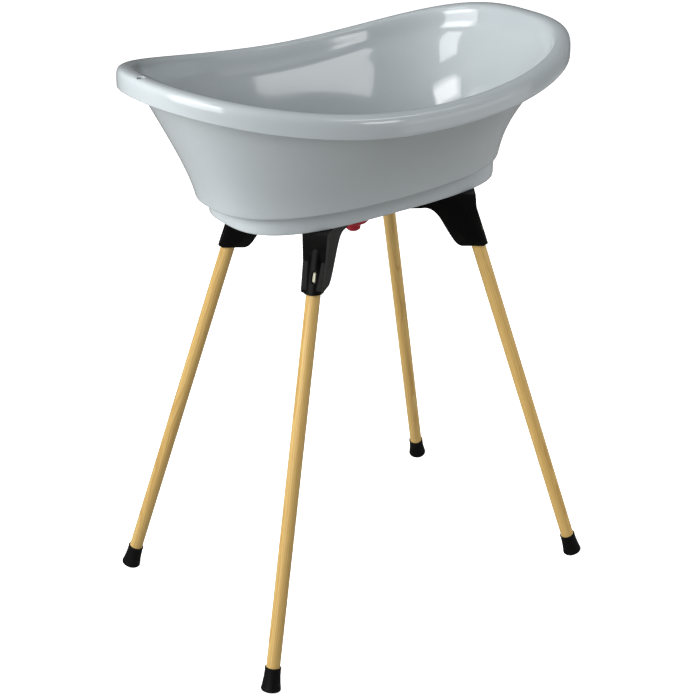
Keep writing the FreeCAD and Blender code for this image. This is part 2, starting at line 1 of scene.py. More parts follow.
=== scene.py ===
import bpy
import bmesh
import json
import math
import numpy as np
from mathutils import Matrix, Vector


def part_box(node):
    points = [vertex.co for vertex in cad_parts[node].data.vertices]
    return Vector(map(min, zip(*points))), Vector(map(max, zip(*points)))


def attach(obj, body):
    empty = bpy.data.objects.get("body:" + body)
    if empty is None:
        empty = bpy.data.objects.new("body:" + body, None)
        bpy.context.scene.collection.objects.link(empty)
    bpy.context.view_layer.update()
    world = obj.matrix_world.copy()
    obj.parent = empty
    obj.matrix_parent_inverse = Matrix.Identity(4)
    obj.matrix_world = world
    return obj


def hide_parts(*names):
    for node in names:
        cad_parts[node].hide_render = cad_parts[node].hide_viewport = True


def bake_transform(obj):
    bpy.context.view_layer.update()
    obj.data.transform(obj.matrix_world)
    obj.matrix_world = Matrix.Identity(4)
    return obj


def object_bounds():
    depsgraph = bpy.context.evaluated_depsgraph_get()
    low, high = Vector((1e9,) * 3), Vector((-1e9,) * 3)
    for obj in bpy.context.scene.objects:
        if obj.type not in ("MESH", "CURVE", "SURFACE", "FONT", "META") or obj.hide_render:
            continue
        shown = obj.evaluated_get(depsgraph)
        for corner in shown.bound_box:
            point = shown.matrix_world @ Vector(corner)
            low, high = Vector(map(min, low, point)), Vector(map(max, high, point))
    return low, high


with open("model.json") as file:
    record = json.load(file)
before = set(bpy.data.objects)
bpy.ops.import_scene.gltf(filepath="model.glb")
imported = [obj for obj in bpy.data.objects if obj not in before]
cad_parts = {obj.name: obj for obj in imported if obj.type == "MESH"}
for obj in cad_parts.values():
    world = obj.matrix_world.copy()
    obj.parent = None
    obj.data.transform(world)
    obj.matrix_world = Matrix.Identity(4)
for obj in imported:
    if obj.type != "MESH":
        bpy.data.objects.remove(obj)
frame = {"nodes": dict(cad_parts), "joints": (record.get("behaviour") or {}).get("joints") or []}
cad_low, cad_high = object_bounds()
MM = 0.001
joints = {joint["name"]: joint for joint in frame["joints"]}
stand_x = joints["drain_cap_turn"]["pos_m"][0]
scene = bpy.context.scene

CORNERS = ("front_left", "front_right", "rear_left", "rear_right")

# ------------------------------------------------------------------ the tub's form
# The same curves as the CAD tub, in millimetres from the stand's axis. Rings run round the
# tub, and rows of rings steer a smooth surface from the drain hole up and over the lip.
RIM_LEFT, RIM_RIGHT, RIM_HALF, RIM_CENTRE = -409.2, 392.2, 238.6, -27.3
RIM_FULLNESS = (2.25, 2.78)
RIM_Z, RIM_TILT, RIM_SADDLE, RIM_EASE, RIM_SPAN = 952.8, -4.2, 74.1, -4.4, 440.0
LIP_LEFT, LIP_RIGHT, LIP_SIDE, LIP_DEPTH = 39.0, 32.0, 22.5, 35.0
WALL = 3.0
LIP_EASE = 6.0    # how far the inside leans in below the lip, to meet it in a soft curve
STEP_LEFT, STEP_RIGHT, STEP_HALF, STEP_CENTRE = -287.0, 290.0, 148.0, -11.8
STEP_FULLNESS = (2.56, 2.31)
STEP_Z = 779.0
FLARE_LEFT, FLARE_RIGHT, FLARE_SIDE = 1.35, 2.7, 1.45
PLINTH_LEFT, PLINTH_RIGHT, PLINTH_HALF, PLINTH_CENTRE = -260.0, 266.0, 126.7, -18.0
PLINTH_FULLNESS = (3.0, 3.3)
PLINTH_Z = round(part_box("drain_gasket")[1].z / MM, 2)
PLINTH_CORNER = 5.0
FLOOR_REACH, FLOOR_HALF, FLOOR_FULLNESS = 140.0, 88.0, (2.1, 2.2)    # a ring within the floor
DRAIN_HOLE_R = 20.0
DRAIN_LEVEL = 12.0     # the floor stays level this far round the drain hole
CLIMBS = (0.09, 0.18, 0.3, 0.42, 0.54, 0.66, 0.78, 0.89, 1.0)    # rows up the flared wall
# rows over the lip and back under it: share of the way in, extra inset, drop below the crest
OVER_LIP = ((1.0, 2.5, 16.0), (0.99, 0.6, 6.5), (0.9, 0.0, 0.2), (0.62, 0.0, -0.8),
            (0.32, 0.0, 0.9), (0.07, 0.0, 6.0), (0.0, 0.0, 16.0), (0.0, 0.0, 26.0),
            (0.0, 0.0, LIP_DEPTH))
UNDER_LIP = ((0.0, WALL, LIP_DEPTH), (0.0, WALL, 25.0), (0.0, WALL, 15.0), (0.06, WALL, 7.6),
             (0.32, WALL, 4.5), (0.62, 0.0, 3.6), (0.9, -WALL, 4.2), (1.0, -WALL, 9.0),
             (1.0, -WALL, 18.0))
LIP_EDGE_ANGLES = (30, 60, 90, 120, 150)    # steps round the lip's lower edge, in degrees
HANGING_HOLE_X = -396.0
HANGING_HOLE_R = 6.0
HOLE_EASE = 0.9        # width of the soft edge round the hanging hole
HOLE_EDGE = ((0.3, 0.2), (0.0, 0.8))    # wider than the hole by, and sunk by, round that edge
HOLE_PATCH = 11.5      # the grid is opened this far either side of the hole
HOLE_PATCH_DROP = 12.0    # and this far below the crest
HOLE_PATCH_COLUMNS = 2
HOLE_RINGS = (0.35, 0.65, 0.86, 1.0)    # rings of faces between the opened grid and the hole
COLUMNS = 256          # points round the tub
PER_SPAN = 4           # rows of points for each row of control points


def crest(x):
    s = x / RIM_SPAN
    return RIM_Z + RIM_TILT * s + RIM_SADDLE * s ** 2 + RIM_EASE * s ** 4


def plan(turn, left, right, half, centre, fullness, end_grow=None, side_grow=0.0):
    """Points of an egg-shaped closed curve, grown from its small to its large size."""
    cos_t, sin_t = np.cos(turn), np.sin(turn)
    right_side = cos_t >= 0
    n = np.where(right_side, fullness[1], fullness[0])
    swell = (np.abs(cos_t) ** n + np.abs(sin_t) ** n) ** (-1 / n)
    grow = side_grow
    if end_grow is not None:
        share = (np.abs(cos_t) * swell) ** (n / 2)
        grow = np.where(right_side, end_grow[1], end_grow[0]) * share + side_grow * (1 - share)
    small = np.where(right_side, right[0], left[0])
    large = np.where(right_side, right[1], left[1])
    reach = np.abs(small + (large - small) * grow - centre)
    width = half[0] + (half[1] - half[0]) * side_grow
    return centre + reach * cos_t * swell, width * sin_t * swell


def flat_ring(turn, left, right, half, centre, fullness, z):
    x, y = plan(turn, (left, left), (right, right), (half, half), centre, fullness)
    return np.stack([x, y, np.full_like(x, z)], -1)


def circle_ring(turn, radius, z):
    return np.stack([radius * np.cos(turn), radius * np.sin(turn), np.full_like(turn, z)], -1)


def plinth_ring(turn, inset, z):
    return flat_ring(turn, PLINTH_LEFT + inset, PLINTH_RIGHT - inset, PLINTH_HALF - inset,
                     PLINTH_CENTRE, PLINTH_FULLNESS, z)


def floor_ring(turn, z):
    return flat_ring(turn, -FLOOR_REACH, FLOOR_REACH, FLOOR_HALF, 0.0, FLOOR_FULLNESS, z)


def step_ring(turn, inset, z):
    return flat_ring(turn, STEP_LEFT + inset, STEP_RIGHT - inset, STEP_HALF - inset,
                     STEP_CENTRE, STEP_FULLNESS, z)


def lip_ring(turn, inward, extra, drop):
    left = RIM_LEFT + inward * LIP_LEFT + extra
    right = RIM_RIGHT - inward * LIP_RIGHT - extra
    half = RIM_HALF - inward * LIP_SIDE - extra
    x, y = plan(turn, (left, left), (right, right), (half, half), RIM_CENTRE, RIM_FULLNESS)
    return np.stack([x, y, crest(x) - drop], -1)


def wall_ring(turn, climb, inset):
    left = (STEP_LEFT + inset, RIM_LEFT + LIP_LEFT - WALL + inset)
    right = (STEP_RIGHT - inset, RIM_RIGHT - LIP_RIGHT + WALL - inset)
    half = (STEP_HALF - inset, RIM_HALF - LIP_SIDE + WALL - inset)
    side_grow = climb ** FLARE_SIDE
    centre = STEP_CENTRE + (RIM_CENTRE - STEP_CENTRE) * side_grow
    fullness = [low + (high - low) * climb for low, high in zip(STEP_FULLNESS, RIM_FULLNESS)]
    x, y = plan(turn, left, right, half, centre, fullness,
                (climb ** FLARE_LEFT, climb ** FLARE_RIGHT), side_grow)
    return np.stack([x, y, STEP_Z + (crest(x) - LIP_DEPTH - STEP_Z) * climb], -1)


def inner_rows(t):
    """From the drain hole over the floor, up the inside and over the lip to its lower edge."""
    floor = PLINTH_Z + WALL
    rows = [circle_ring(t, DRAIN_HOLE_R, floor), circle_ring(t, DRAIN_HOLE_R + DRAIN_LEVEL, floor)]
    rows.append(floor_ring(t, floor))
    for inset, z in ((30 + WALL, floor), (9 + WALL, floor), (1 + WALL, floor),
                     (WALL, floor + 8), (WALL, STEP_Z - 3), (WALL - 2, STEP_Z + 1.5)):
        rows.append(plinth_ring(t, inset, z))
    rows.append(step_ring(t, WALL + 7, STEP_Z + 2.5))
    rows.append(step_ring(t, WALL + 1, STEP_Z + 5))
    for climb in CLIMBS:
        rows.append(wall_ring(t, climb, WALL + LIP_EASE * climb ** 4))
    rows += [lip_ring(t, *row) for row in OVER_LIP]
    return rows


def outer_rows(t):
    """From the lip's lower edge up inside the lip, down the outside and under to the drain."""
    rows = [lip_ring(t, *row) for row in UNDER_LIP]
    for climb in reversed(CLIMBS):
        rows.append(wall_ring(t, climb, 0.0))
    for inset, z in ((0.0, STEP_Z + 4), (1.0, STEP_Z), (7.0, STEP_Z - 0.5)):
        rows.append(step_ring(t, inset, z))
    for inset, z in ((-2.0, STEP_Z - 1), (0.0, STEP_Z - 5), (0.0, PLINTH_Z + PLINTH_CORNER),
                     (0.5, PLINTH_Z), (PLINTH_CORNER, PLINTH_Z), (WALL + 30, PLINTH_Z)):
        rows.append(plinth_ring(t, inset, z))
    rows.append(floor_ring(t, PLINTH_Z))
    rows.append(circle_ring(t, DRAIN_HOLE_R + DRAIN_LEVEL, PLINTH_Z))
    rows.append(circle_ring(t, DRAIN_HOLE_R, PLINTH_Z))
    return rows


def spline_weights(count, v):
    """Weights of a clamped cubic B-spline's rows at each station v, from 0 to count - 3."""
    spans = count - 3
    knots = np.array([0.0] * 3 + list(range(spans + 1)) + [float(spans)] * 3)
    v = np.clip(np.atleast_1d(np.asarray(v, float)), 0.0, spans - 1e-9)
    basis = ((v[:, None] >= knots[None, :-1]) & (v[:, None] < knots[None, 1:])).astype(float)
    for degree in (1, 2, 3):
        low, high = knots[: -degree - 1], knots[degree + 1:]
        rise = np.where(knots[degree:-1] > low, knots[degree:-1] - low, 1.0)
        fall = np.where(high > knots[1:-degree], high - knots[1:-degree], 1.0)
        up = np.where(knots[degree:-1] > low, 1.0, 0.0) * (v[:, None] - low) / rise
        down = np.where(high > knots[1:-degree], 1.0, 0.0) * (high - v[:, None]) / fall
        basis = up * basis[:, :-1] + down * basis[:, 1:]
    return basis


def sheet_at(rows_of, turn, v):
    """Points of a sheet at paired stations (turn, v)."""
    rows = np.stack(rows_of(np.asarray(turn, float)))
    weights = spline_weights(len(rows), v)
    return np.einsum("ij,jik->ik", weights, rows)


def sheet_grid(rows_of, turn, v):
    rows = np.stack(rows_of(turn))
    return np.einsum("ij,jkl->ikl", spline_weights(len(rows), v), rows)


def station_at(rows_of, x, y, turn, v):
    """The station where the sheet passes over (x, y), starting the search from (turn, v)."""
    place = np.array([turn, v], float)
    step = 1e-4
    for _ in range(12):
        here = sheet_at(rows_of, [place[0]], [place[1]])[0, :2]
        by_turn = (sheet_at(rows_of, [place[0] + step], [place[1]])[0, :2] - here) / step
        by_v = (sheet_at(rows_of, [place[0]], [place[1] + step])[0, :2] - here) / step
        place += np.linalg.solve(np.stack([by_turn, by_v], 1), np.array([x, y]) - here)
    return place


def new_object(name, verts, faces, smooth):
    mesh = bpy.data.meshes.new(name)
    mesh.from_pydata([tuple(float(c) for c in v) for v in verts], [], faces)
    mesh.validate()
    mesh.update()
    for polygon in mesh.polygons:
        polygon.use_smooth = smooth
    obj = bpy.data.objects.new(name, mesh)
    scene.collection.objects.link(obj)
    return obj


def place_mm(points):
    """Millimetres about the stand's axis to metres in the row frame."""
    return np.asarray(points) * MM + np.array([stand_x, 0.0, 0.0])


def join_rings(a, b, faces):
    for i in range(len(a)):
        j = (i + 1) % len(a)
        faces.append((a[i], a[j], b[j], b[i]))


def add_ring(points, ring, verts, faces):
    """Adds a ring of points, joins it to the ring before it and returns its indices."""
    following = list(range(len(verts), len(verts) + len(points)))
    verts.extend(points)
    join_rings(ring, following, faces)
    return following


def pierce(rows_of, stations, turn, cut_rows, cut_columns, verts, faces, first):
    """Fills the gap left in a grid with rings of faces down to the hanging hole's edge.

    Returns the last ring's indices and the angle of each of its points about the hole.
    """
    low_row, high_row = cut_rows
    low_col, high_col = cut_columns
    loop = [(r, low_col) for r in range(low_row, high_row)]
    loop += [(high_row, c) for c in range(low_col, high_col)]
    loop += [(r, high_col) for r in range(high_row, low_row, -1)]
    loop += [(low_row, c) for c in range(high_col, low_col, -1)]
    edge = np.array([(turn[c], stations[r]) for r, c in loop])
    edge_xyz = sheet_at(rows_of, edge[:, 0], edge[:, 1])
    angles = np.arctan2(edge_xyz[:, 1], edge_xyz[:, 0] - HANGING_HOLE_X)
    middle = edge.mean(0)
    rim = []
    for angle in angles:
        x = HANGING_HOLE_X + (HANGING_HOLE_R + HOLE_EASE) * math.cos(angle)
        y = (HANGING_HOLE_R + HOLE_EASE) * math.sin(angle)
        rim.append(station_at(rows_of, x, y, middle[0], middle[1]))
    rim = np.array(rim)
    ring = [first + r * COLUMNS + c for r, c in loop]
    for share in HOLE_RINGS:
        mix = edge * (1 - share) + rim * share
        ring = add_ring(sheet_at(rows_of, mix[:, 0], mix[:, 1]), ring, verts, faces)
    return ring, angles


def tub_skin():
    turn = 2 * np.pi * np.arange(COLUMNS) / COLUMNS
    verts, faces = [], []
    sheets = []
    for rows_of in (inner_rows, outer_rows):
        spans = len(rows_of(turn[:1])) - 3
        stations = np.linspace(0.0, spans, spans * PER_SPAN + 1)
        sheets.append((rows_of, stations, sheet_grid(rows_of, turn, stations)))
    holes = []
    firsts = []
    middle = COLUMNS // 2
    cut_columns = (middle - HOLE_PATCH_COLUMNS, middle + HOLE_PATCH_COLUMNS)
    for rows_of, stations, grid in sheets:
        first = len(verts)
        firsts.append(first)
        verts.extend(grid.reshape(-1, 3))
        line = grid[:, middle, :]
        lip = [r for r in range(len(stations))
               if abs(line[r, 0] - HANGING_HOLE_X) < HOLE_PATCH
               and line[r, 2] > crest(line[r, 0]) - HOLE_PATCH_DROP]
        cut_rows = (min(lip), max(lip))
        holes.append(cut_rows)
        for r in range(len(stations) - 1):
            for c in range(COLUMNS):
                inside = cut_rows[0] <= r < cut_rows[1] and cut_columns[0] <= c < cut_columns[1]
                if inside:
                    continue
                d = (c + 1) % COLUMNS
                a = first + r * COLUMNS
                faces.append((a + c, a + d, a + COLUMNS + d, a + COLUMNS + c))
    # the lip's lower edge, rounded
    inner_end = sheets[0][2][-1]
    outer_start = sheets[1][2][0]
    ring = [firsts[0] + (len(sheets[0][1]) - 1) * COLUMNS + c for c in range(COLUMNS)]
    for angle in LIP_EDGE_ANGLES:
        share = (1 - math.cos(math.radians(angle))) / 2
        points = inner_end * (1 - share) + outer_start * share
        points[:, 2] -= WALL / 2 * math.sin(math.radians(angle))
        ring = add_ring(points, ring, verts, faces)
    join_rings(ring, [firsts[1] + c for c in range(COLUMNS)], faces)
    # the wall of the drain hole
    last = firsts[1] + (len(sheets[1][1]) - 1) * COLUMNS
    join_rings([last + c for c in range(COLUMNS)], [firsts[0] + c for c in range(COLUMNS)], faces)
    # the hanging hole
    ends = []
    for (rows_of, stations, _), cut_rows, first, side in zip(sheets, holes, firsts, (1, -1)):
        ring, angles = pierce(rows_of, stations, turn, cut_rows, cut_columns, verts, faces, first)
        for wider, sink in HOLE_EDGE:
            radius = HANGING_HOLE_R + wider
            points = np.array([verts[i] for i in ring])
            points[:, 0] = HANGING_HOLE_X + radius * np.cos(angles)
            points[:, 1] = radius * np.sin(angles)
            points[:, 2] -= side * sink
            ring = add_ring(points, ring, verts, faces)
        ends.append(ring)
    obj = new_object("tub_skin", place_mm(verts), faces, smooth=True)
    bm = bmesh.new()
    bm.from_mesh(obj.data)
    # join the two ends of the hole's wall, which may have different counts
    bm.verts.ensure_lookup_table()
    loops = []
    for ring in ends:
        for here, there in zip(ring, ring[1:] + ring[:1]):
            loops.append(bm.edges.get((bm.verts[here], bm.verts[there])))
    bmesh.ops.bridge_loops(bm, edges=loops)
    bmesh.ops.recalc_face_normals(bm, faces=bm.faces)
    for face in bm.faces:
        face.smooth = True
    bm.to_mesh(obj.data)
    bm.free()
    return obj


tub = tub_skin()
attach(tub, "tub")
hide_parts("tub_shell")


# ------------------------------------------------------------------ materials
def tree_of(name):
    material = bpy.data.materials.new(name)
    material.use_nodes = True
    tree = material.node_tree
    tree.nodes.clear()
    out = tree.nodes.new("ShaderNodeOutputMaterial")
    shader = tree.nodes.new("ShaderNodeBsdfPrincipled")
    tree.links.new(shader.outputs[0], out.inputs[0])
    return material, tree, shader


def node(tree, kind, inputs=None, **settings):
    made = tree.nodes.new("ShaderNode" + kind)
    for key, value in settings.items():
        setattr(made, key, value)
    for key, value in (inputs or {}).items():
        if isinstance(value, bpy.types.NodeSocket):
            tree.links.new(value, made.inputs[key])
        else:
            made.inputs[key].default_value = value
    return made


def noise(tree, where, scale, detail=3.0, roughness=0.5, distortion=0.0):
    made = node(tree, "TexNoise", {"Vector": where, "Scale": scale, "Detail": detail,
                                   "Roughness": roughness, "Distortion": distortion})
    return made.outputs["Fac"]


def ranged(tree, value, from_low, from_high, to_low, to_high):
    made = node(tree, "MapRange", {"Value": value, "From Min": from_low, "From Max": from_high,
                                   "To Min": to_low, "To Max": to_high})
    return made.outputs["Result"]


def math_node(tree, operation, a, b=0.0):
    return node(tree, "Math", {0: a, 1: b}, operation=operation).outputs[0]


def blend_colour(tree, factor, a, b, mode="MIX"):
    made = node(tree, "Mix", data_type="RGBA", blend_type=mode)
    for index, value in ((0, factor), (6, a), (7, b)):
        if isinstance(value, bpy.types.NodeSocket):
            tree.links.new(value, made.inputs[index])
        else:
            made.inputs[index].default_value = value
    return made.outputs[2]


def ramp(tree, value, stops):
    made = node(tree, "ValToRGB", {"Fac": value})
    elements = made.color_ramp.elements
    while len(elements) < len(stops):
        elements.new(0.5)
    for element, (place, colour) in zip(elements, stops):
        element.position = place
        element.color = colour
    return made.outputs["Color"]


def rgb(red, green, blue):
    return (red, green, blue, 1.0)


def mapped(tree, where, **settings):
    """A place moved, turned or scaled: Location, Rotation and Scale, as Blender names them."""
    return node(tree, "Mapping", {"Vector": where, **settings}).outputs[0]


def object_place(tree, **settings):
    return mapped(tree, node(tree, "TexCoord").outputs["Object"], **settings)


def edge_wear(tree, low=0.505, high=0.56):
    """0 on flat areas and hollows, 1 on sharp ridges."""
    geometry = node(tree, "NewGeometry")
    return ranged(tree, geometry.outputs["Pointiness"], low, high, 0.0, 1.0)


def scratches(tree, where, thinness):
    """Thin hairlines where a stretched noise crosses its middle value."""
    field = noise(tree, where, 1.0, 2.0, 0.4, 0.6)
    distance = math_node(tree, "ABSOLUTE", math_node(tree, "SUBTRACT", field, 0.5))
    return ranged(tree, distance, 0.0, thinness, 1.0, 0.0)


def moulded(name, base, variation, rough, rough_swing, grain_scale, grain_depth, grain_strength,
            bevel, wear_colour=None, wear=0.0, coat=0.0, specular=0.5):
    """Moulded plastic or rubber: soft tone drift, fine surface grain and worn edges."""
    material, tree, shader = tree_of(name)
    where = object_place(tree)
    drift = noise(tree, where, 9.0, 4.0, 0.55)
    fine = noise(tree, where, 160.0, 3.0, 0.6)
    dark = tuple(c * (1 - variation) for c in base) + (1.0,)
    light = tuple(min(1.0, c * (1 + variation)) for c in base) + (1.0,)
    colour = blend_colour(tree, ranged(tree, drift, 0.3, 0.7, 0.0, 1.0), dark, light)
    colour = blend_colour(tree, ranged(tree, fine, 0.35, 0.65, 0.0, 0.35), colour, dark)
    if wear_colour is not None:
        amount = math_node(tree, "MULTIPLY", edge_wear(tree), wear)
        patchy = math_node(tree, "MULTIPLY", amount, ranged(tree, drift, 0.35, 0.65, 0.3, 1.0))
        colour = blend_colour(tree, patchy, colour, wear_colour + (1.0,))
    tree.links.new(colour, shader.inputs["Base Color"])
    hairs = scratches(tree, object_place(tree, Scale=(30.0, 30.0, 6.0), Rotation=(0.4, 0.2, 0.0)),
                      0.006)
    base_rough = ranged(tree, drift, 0.3, 0.7, rough - rough_swing, rough + rough_swing)
    rough_out = math_node(tree, "ADD", base_rough, math_node(tree, "MULTIPLY", hairs, rough_swing))
    tree.links.new(rough_out, shader.inputs["Roughness"])
    grain = noise(tree, where, grain_scale, 2.0, 0.5)
    bump = node(tree, "Bump", {"Height": grain, "Strength": grain_strength,
                               "Distance": grain_depth})
    rounded = node(tree, "Bevel", {"Radius": bevel}, samples=6)
    tree.links.new(rounded.outputs[0], bump.inputs["Normal"])
    tree.links.new(bump.outputs[0], shader.inputs["Normal"])
    shader.inputs["Coat Weight"].default_value = coat
    shader.inputs["Coat Roughness"].default_value = 0.05
    shader.inputs["Specular IOR Level"].default_value = specular
    return material


def tub_material():
    """Glossy pale blue-grey plastic: faint flow marks, orange peel and fine use scratches."""
    material, tree, shader = tree_of("tub_plastic_look")
    where = object_place(tree)
    flow = noise(tree, object_place(tree, Scale=(2.2, 3.4, 6.0)), 1.0, 3.0, 0.5, 0.8)
    speck = noise(tree, where, 700.0, 1.0)
    colour = blend_colour(tree, ranged(tree, flow, 0.3, 0.7, 0.0, 1.0),
                          rgb(0.352, 0.388, 0.404), rgb(0.376, 0.410, 0.424))
    colour = blend_colour(tree, ranged(tree, speck, 0.45, 0.7, 0.0, 0.12), colour,
                          rgb(0.31, 0.345, 0.36))
    worn = math_node(tree, "MULTIPLY", edge_wear(tree, 0.51, 0.58), 0.25)
    colour = blend_colour(tree, worn, colour, rgb(0.46, 0.49, 0.50))
    tree.links.new(colour, shader.inputs["Base Color"])
    hairs = scratches(tree, object_place(tree, Scale=(9.0, 9.0, 30.0), Rotation=(0.3, 0.5, 0.2)),
                      0.0035)
    cross = scratches(tree, object_place(tree, Scale=(26.0, 8.0, 9.0), Rotation=(0.9, 0.1, 0.6)),
                      0.0025)
    hairs = math_node(tree, "MAXIMUM", hairs, cross)
    drift = noise(tree, where, 14.0, 4.0)
    rough = ranged(tree, drift, 0.3, 0.7, 0.09, 0.13)
    rough = math_node(tree, "ADD", rough, math_node(tree, "MULTIPLY", hairs, 0.03))
    tree.links.new(rough, shader.inputs["Roughness"])
    peel = noise(tree, where, 95.0, 2.0, 0.4)
    bump = node(tree, "Bump", {"Height": peel, "Strength": 0.10, "Distance": 0.0003})
    tree.links.new(bump.outputs[0], shader.inputs["Normal"])
    shader.inputs["Coat Weight"].default_value = 0.35
    shader.inputs["Coat Roughness"].default_value = 0.05
    return material


# Each dowel comes from its own board, so the four differ a little in grain and tone; the two
# right-hand dowels are also painted paler, as painted light standing in for the extra light that
# falls on them.
BOARD_SEED = {"front_left": 0.0, "front_right": 1.7, "rear_left": 3.1, "rear_right": 4.6}
BOARD_TONE_AND_PAINTED_LIGHT = {"front_left": 0.98, "front_right": 1.25, "rear_left": 0.94, "rear_right": 1.18}
PITH_OFFSET = 0.031    # the dowels are cut this far from the middle of the tree, in metres
RINGS_PER_METRE = 330.0


def wood_material(corner):
    """Pale turned softwood with its grain along this leg, under a thin satin lacquer."""
    material, tree, shader = tree_of("wood_" + corner)
    down = Vector(joints["leg_pull_" + corner]["axis"])
    along = -down
    turn = along.rotation_difference(Vector((0, 0, 1))).to_euler()
    low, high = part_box("leg_" + corner)
    seed, tone = BOARD_SEED[corner], BOARD_TONE_AND_PAINTED_LIGHT[corner]
    centre = along.rotation_difference(Vector((0, 0, 1))) @ ((low + high) / 2)
    pith = (-centre.x + PITH_OFFSET * math.cos(seed), -centre.y + PITH_OFFSET * math.sin(seed),
            seed * 0.37)
    about = mapped(tree, object_place(tree, Rotation=tuple(turn)), Location=pith)
    wander = noise(tree, mapped(tree, about, Scale=(9.0, 9.0, 2.1)), 1.0, 3.0, 0.55)
    split = node(tree, "SeparateXYZ", {0: about})
    radius = math_node(tree, "SQRT", math_node(
        tree, "ADD", math_node(tree, "POWER", split.outputs[0], 2.0),
        math_node(tree, "POWER", split.outputs[1], 2.0)))
    rings = math_node(tree, "ADD", math_node(tree, "MULTIPLY", radius, RINGS_PER_METRE),
                      math_node(tree, "MULTIPLY", wander, 9.0))
    ring = math_node(tree, "FRACT", rings)
    fibres = noise(tree, mapped(tree, about, Scale=(900.0, 900.0, 14.0)), 1.0, 3.0, 0.6)
    streaks = noise(tree, mapped(tree, about, Scale=(170.0, 170.0, 3.0)), 1.0, 3.0, 0.6)
    colour = ramp(tree, ring, [(0.0, rgb(0.495, 0.340, 0.120)), (0.55, rgb(0.470, 0.312, 0.103)),
                               (0.86, rgb(0.360, 0.207, 0.054)), (1.0, rgb(0.488, 0.332, 0.115))])
    colour = blend_colour(tree, ranged(tree, streaks, 0.35, 0.68, 0.0, 0.55), colour,
                          rgb(0.375, 0.223, 0.060))
    colour = blend_colour(tree, ranged(tree, fibres, 0.52, 0.75, 0.0, 0.5), colour,
                          rgb(0.280, 0.153, 0.038))
    colour = blend_colour(tree, ranged(tree, wander, 0.3, 0.7, 0.0, 0.3), colour,
                          rgb(0.550, 0.400, 0.160))
    # each leg's tone, painted paler on the two right-hand legs as painted light
    colour = blend_colour(tree, 1.0, colour, rgb(tone, tone, tone), "MULTIPLY")
    tree.links.new(colour, shader.inputs["Base Color"])
    tree.links.new(ranged(tree, fibres, 0.3, 0.7, 0.34, 0.5), shader.inputs["Roughness"])
    height = math_node(tree, "ADD", math_node(tree, "MULTIPLY", fibres, 0.7),
                       math_node(tree, "MULTIPLY", ring, 0.3))
    bump = node(tree, "Bump", {"Height": height, "Strength": 0.25, "Distance": 0.0002})
    rounded = node(tree, "Bevel", {"Radius": 0.0008}, samples=4)
    tree.links.new(rounded.outputs[0], bump.inputs["Normal"])
    tree.links.new(bump.outputs[0], shader.inputs["Normal"])
    shader.inputs["Coat Weight"].default_value = 0.12
    shader.inputs["Coat Roughness"].default_value = 0.25
    shader.inputs["Specular IOR Level"].default_value = 0.3
    return material


def steel_material():
    """Stainless steel, brushed, with faint stains."""
    material, tree, shader = tree_of("steel_look")
    where = object_place(tree)
    brush = noise(tree, object_place(tree, Scale=(60.0, 1500.0, 1500.0)), 1.0, 2.0)
    stain = noise(tree, where, 60.0, 4.0)
    colour = blend_colour(tree, ranged(tree, stain, 0.3, 0.7, 0.0, 1.0), rgb(0.52, 0.52, 0.50),
                          rgb(0.64, 0.64, 0.62))
    tree.links.new(colour, shader.inputs["Base Color"])
    tree.links.new(ranged(tree, brush, 0.3, 0.7, 0.22, 0.38), shader.inputs["Roughness"])
    bump = node(tree, "Bump", {"Height": brush, "Strength": 0.15, "Distance": 0.00005})
    rounded = node(tree, "Bevel", {"Radius": 0.0002}, samples=4)
    tree.links.new(rounded.outputs[0], bump.inputs["Normal"])
    tree.links.new(bump.outputs[0], shader.inputs["Normal"])
    shader.inputs["Metallic"].default_value = 1.0
    return material


def give(obj, material):
    obj.data.materials.clear()
    obj.data.materials.append(material)


def bending_clip(corner):
    """A copy of the clip's CAD part, baked in place, with the CAD part hidden."""
    source = frame["nodes"]["leg_clip_" + corner]
    clip = bpy.data.objects.new("snap_clip_" + corner, source.data.copy())
    scene.collection.objects.link(clip)
    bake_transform(clip)
    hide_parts("leg_clip_" + corner)
    return clip


give(tub, tub_material())
black = moulded("black_plastic_look", (0.0017, 0.0016, 0.0016), variation=0.18, rough=0.30,
                rough_swing=0.05, grain_scale=2600.0, grain_depth=0.00012, grain_strength=0.3,
                bevel=0.0012, wear_colour=(0.009, 0.0088, 0.0085), wear=0.4, specular=0.06)
red = moulded("red_plastic_look", (0.42, 0.005, 0.022), variation=0.10, rough=0.22,
              rough_swing=0.04, grain_scale=300.0, grain_depth=0.0001, grain_strength=0.12,
              bevel=0.0006, wear_colour=(0.50, 0.03, 0.06), wear=0.4, coat=0.15, specular=0.3)
nut = moulded("nut_plastic_look", (0.013, 0.013, 0.013), variation=0.15, rough=0.42,
              rough_swing=0.05, grain_scale=1500.0, grain_depth=0.0001, grain_strength=0.3,
              bevel=0.0005, wear_colour=(0.05, 0.05, 0.05), wear=0.4)
drain = moulded("drain_plastic_look", (0.36, 0.39, 0.405), variation=0.06, rough=0.33,
                rough_swing=0.05, grain_scale=900.0, grain_depth=0.0001, grain_strength=0.2,
                bevel=0.0005, wear_colour=(0.47, 0.49, 0.50), wear=0.4)
nylon = moulded("clip_plastic_look", (0.42, 0.41, 0.30), variation=0.05, rough=0.38,
                rough_swing=0.05, grain_scale=900.0, grain_depth=0.0001, grain_strength=0.2,
                bevel=0.0004, wear_colour=(0.50, 0.49, 0.38), wear=0.3)
rubber = moulded("foot_rubber_look", (0.0026, 0.0026, 0.0026), variation=0.25, rough=0.50,
                 rough_swing=0.07, grain_scale=1400.0, grain_depth=0.00015, grain_strength=0.4,
                 bevel=0.0008, wear_colour=(0.014, 0.0135, 0.013), wear=0.5, specular=0.09)
seal = moulded("seal_rubber_look", (0.03, 0.03, 0.03), variation=0.15, rough=0.6,
               rough_swing=0.05, grain_scale=1200.0, grain_depth=0.0001, grain_strength=0.3,
               bevel=0.0003)
steel = steel_material()
for name, material in (("stand_hub", black), ("drain_cap", red), ("drain_locknut", nut),
                       ("drain_body", drain), ("drain_gasket", seal), ("drain_cap_seal", seal),
                       ("drain_grille", steel), ("drain_grille_screw", steel)):
    give(frame["nodes"][name], material)
